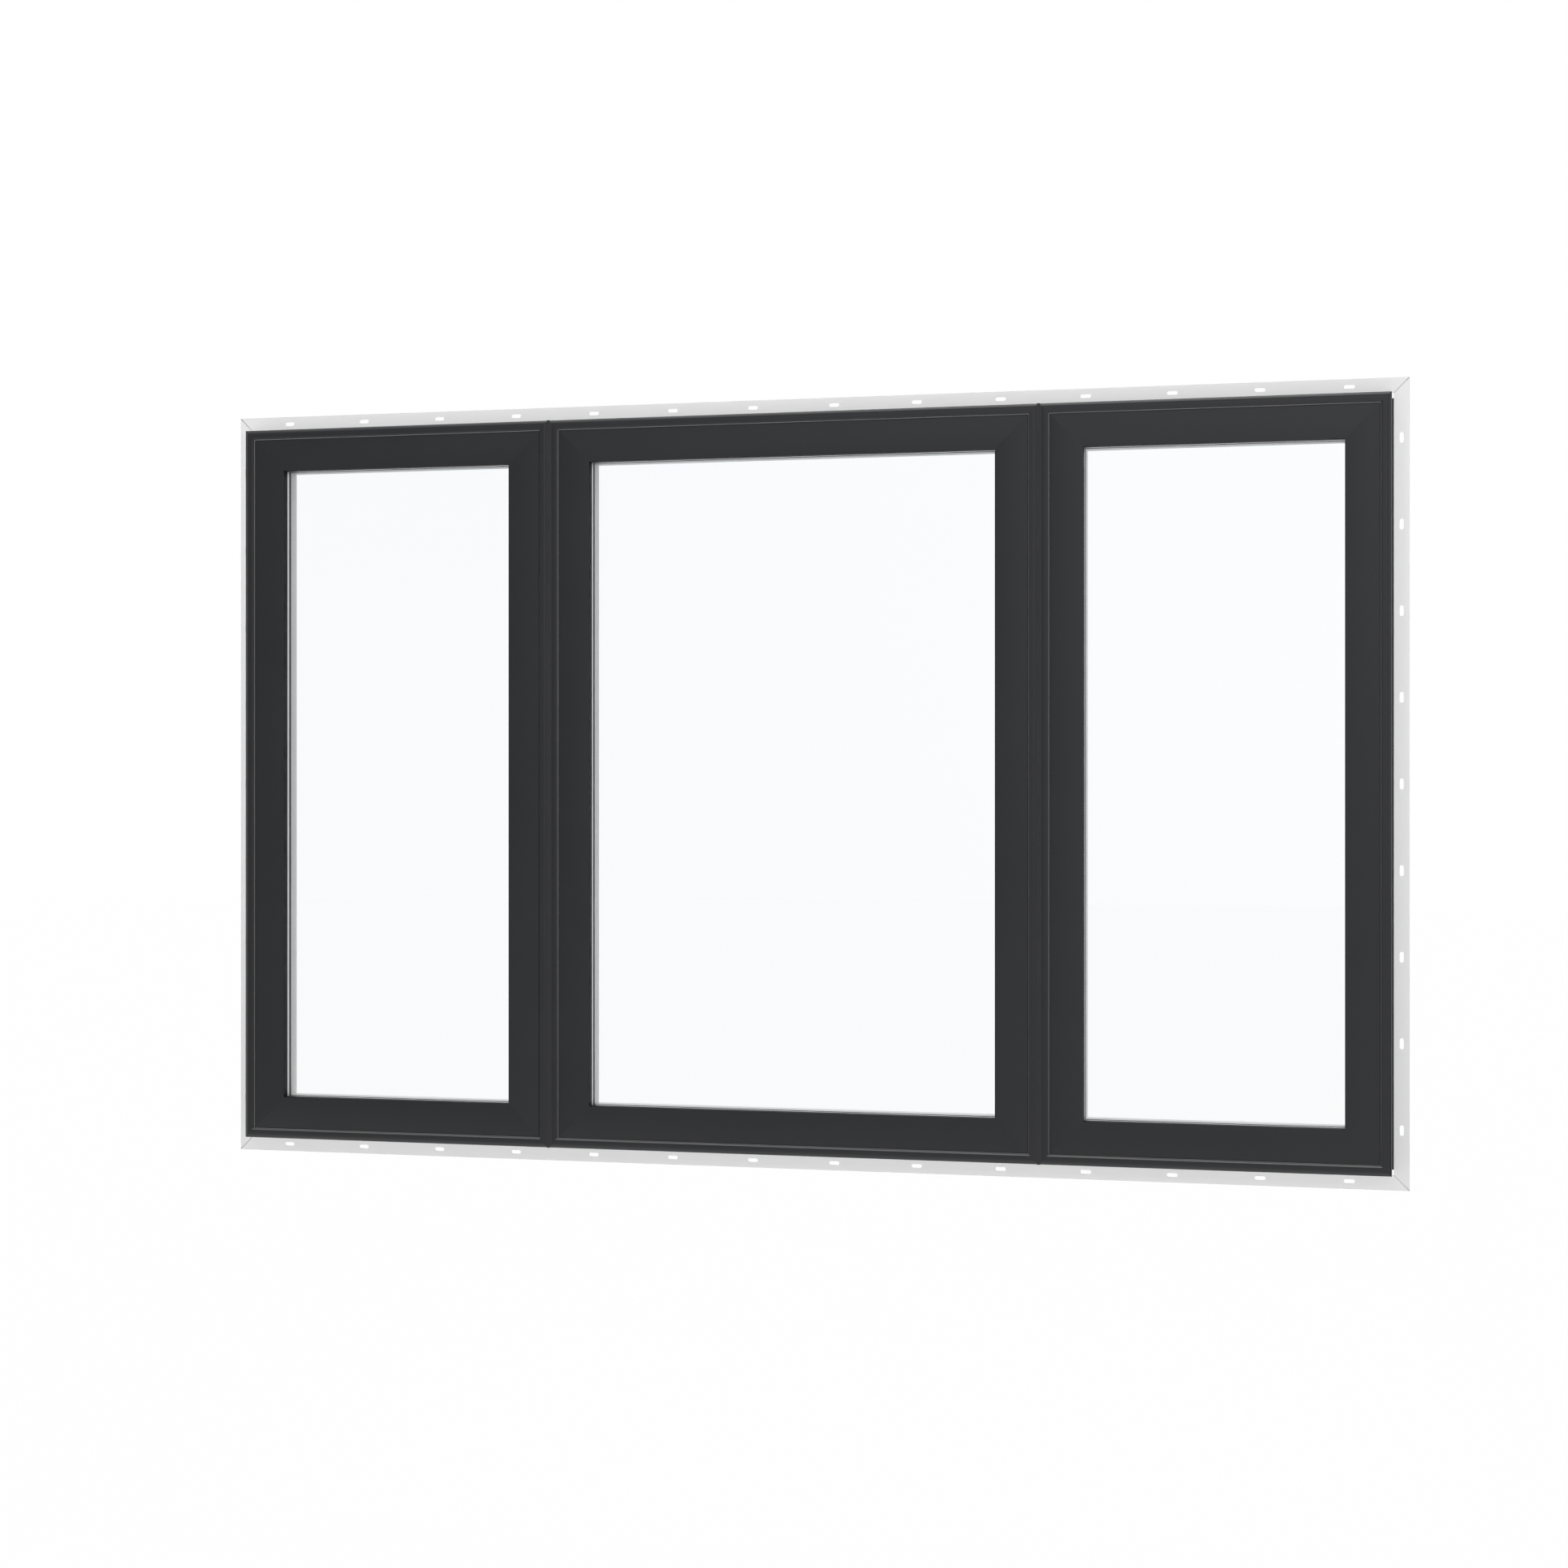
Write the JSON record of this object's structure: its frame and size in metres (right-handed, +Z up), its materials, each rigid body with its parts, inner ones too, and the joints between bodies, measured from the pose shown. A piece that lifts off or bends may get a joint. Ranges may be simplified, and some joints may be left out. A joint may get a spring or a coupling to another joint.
{
  "type": "triple casement window",
  "caption": "Wide window of joined casement units, narrow beside wide, with dark frames, clear insulating glass and a pale slotted nailing fin round the outside.",
  "frame": {"origin": "middle of the sill fin's length and width, on its back face, which lies on the wall", "axes": "+X to the right seen from outdoors, +Y into the room, +Z up"},
  "size_m": [2.1926, 0.116, 1.4083],
  "materials": {
    "charcoal_frame": "satin charcoal paint outdoors, white paint on the room side",
    "white_bead": "satin white",
    "clear_glass": "clear",
    "silver_spacer": "mill",
    "black_seal": "matte",
    "grey_fin": "matte pale grey",
    "white_hardware": "satin white"
  },
  "bodies": {
    "root": {"left_frame_sill": "charcoal_frame", "left_frame_head": "charcoal_frame", "left_frame_left_jamb": "charcoal_frame", "left_frame_right_jamb": "charcoal_frame", "left_sash_bottom_rail": "charcoal_frame", "left_sash_top_rail": "charcoal_frame", "left_sash_left_stile": "charcoal_frame", "left_sash_right_stile": "charcoal_frame", "left_glass_panes": "clear_glass", "left_glass_spacer": "silver_spacer", "left_glazing_bead": "white_bead", "centre_frame_sill": "charcoal_frame", "centre_frame_head": "charcoal_frame", "centre_frame_left_jamb": "charcoal_frame", "centre_frame_right_jamb": "charcoal_frame", "centre_sash_bottom_rail": "charcoal_frame", "centre_sash_top_rail": "charcoal_frame", "centre_sash_left_stile": "charcoal_frame", "centre_sash_right_stile": "charcoal_frame", "centre_glass_panes": "clear_glass", "centre_glass_spacer": "silver_spacer", "centre_glazing_bead": "white_bead", "right_frame_sill": "charcoal_frame", "right_frame_head": "charcoal_frame", "right_frame_left_jamb": "charcoal_frame", "right_frame_right_jamb": "charcoal_frame", "right_sash_bottom_rail": "charcoal_frame", "right_sash_top_rail": "charcoal_frame", "right_sash_left_stile": "charcoal_frame", "right_sash_right_stile": "charcoal_frame", "right_glass_panes": "clear_glass", "right_glass_spacer": "silver_spacer", "right_glazing_bead": "white_bead", "glazing_tapes": "black_seal", "weatherstrips": "black_seal", "unit_joint_strips": "black_seal", "sill_nailing_fin": "grey_fin", "head_nailing_fin": "grey_fin", "left_nailing_fin": "grey_fin", "right_nailing_fin": "grey_fin", "left_crank_operator": "white_hardware", "left_crank_handle": "white_hardware", "right_crank_operator": "white_hardware", "right_crank_handle": "white_hardware", "lock_levers": "white_hardware"}
  },
  "joints": []
}
